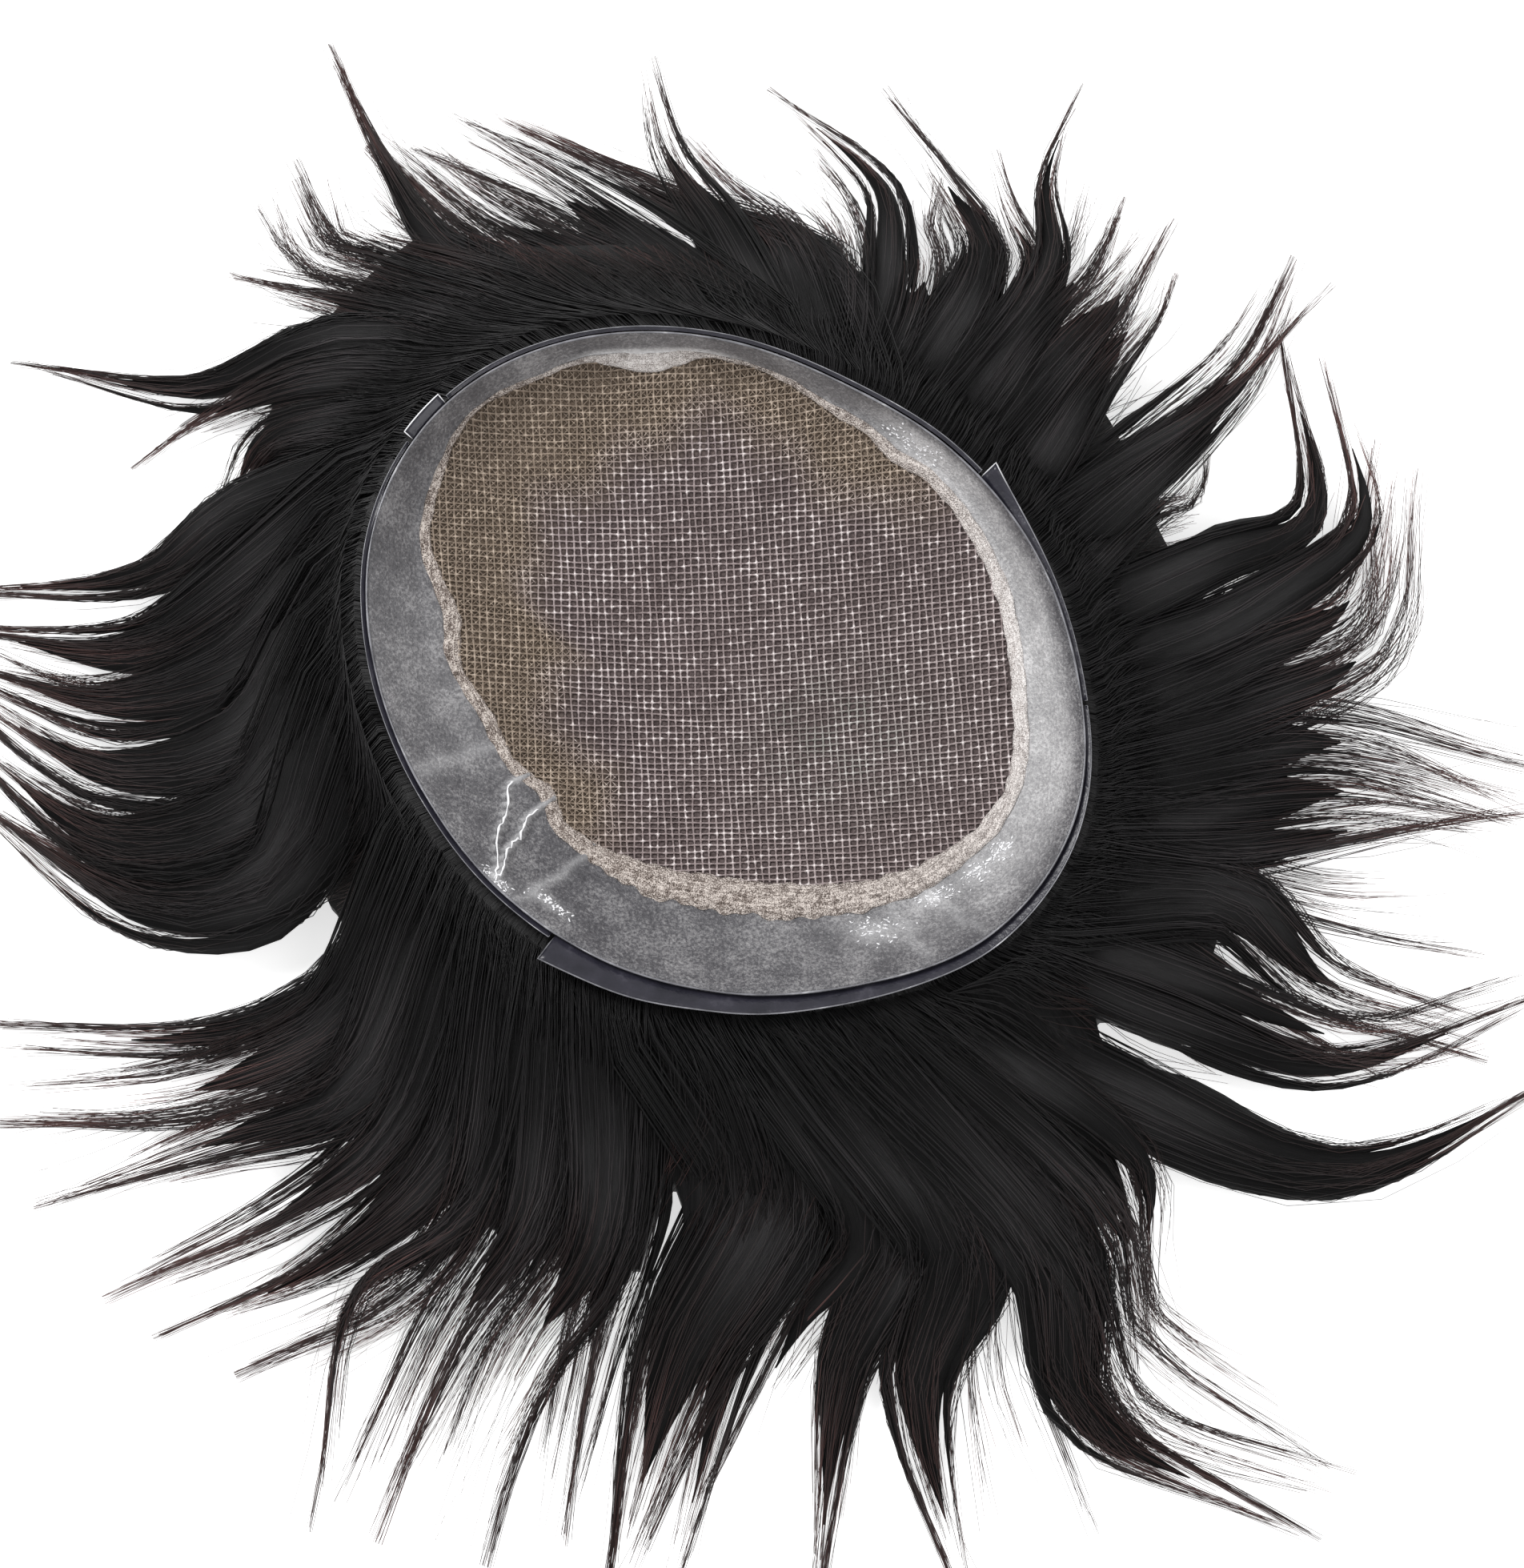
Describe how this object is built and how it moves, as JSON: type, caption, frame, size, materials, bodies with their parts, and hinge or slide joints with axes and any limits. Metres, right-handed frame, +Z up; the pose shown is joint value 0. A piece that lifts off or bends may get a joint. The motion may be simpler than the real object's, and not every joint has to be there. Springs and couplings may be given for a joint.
{
  "type": "toupee hairpiece",
  "caption": "Toupee lying crown down: a net bowl with a lace seam, a clear film perimeter with tape strips, and straight hair splayed round it in curved locks.",
  "frame": {"origin": "on the surface that it lies on, under the middle of the whole piece", "axes": "+Z up, out of the hollow; -Y towards the viewer of the picture; the forehead edge lies between -X and +Y"},
  "size_m": [0.4552, 0.4588, 0.054],
  "materials": {
    "net": "fine open net of mauve brown thread, tan at the front",
    "seam": "beige lace set in clear glue",
    "film": "translucent, frosted",
    "tape": "clear, glossy at its edges",
    "hair": "straight near-black human hair with a soft sheen"
  },
  "bodies": {
    "root": {"net_base": "net", "seam_band": "seam", "pu_perimeter": "film", "tape_back": "tape", "tape_left": "tape", "tape_front": "tape", "tape_step": "tape", "tape_right": "tape", "hair_crown": "hair", "hair_front": "hair", "hair_left_side": "hair", "hair_right_side": "hair", "hair_back": "hair"}
  },
  "joints": []
}
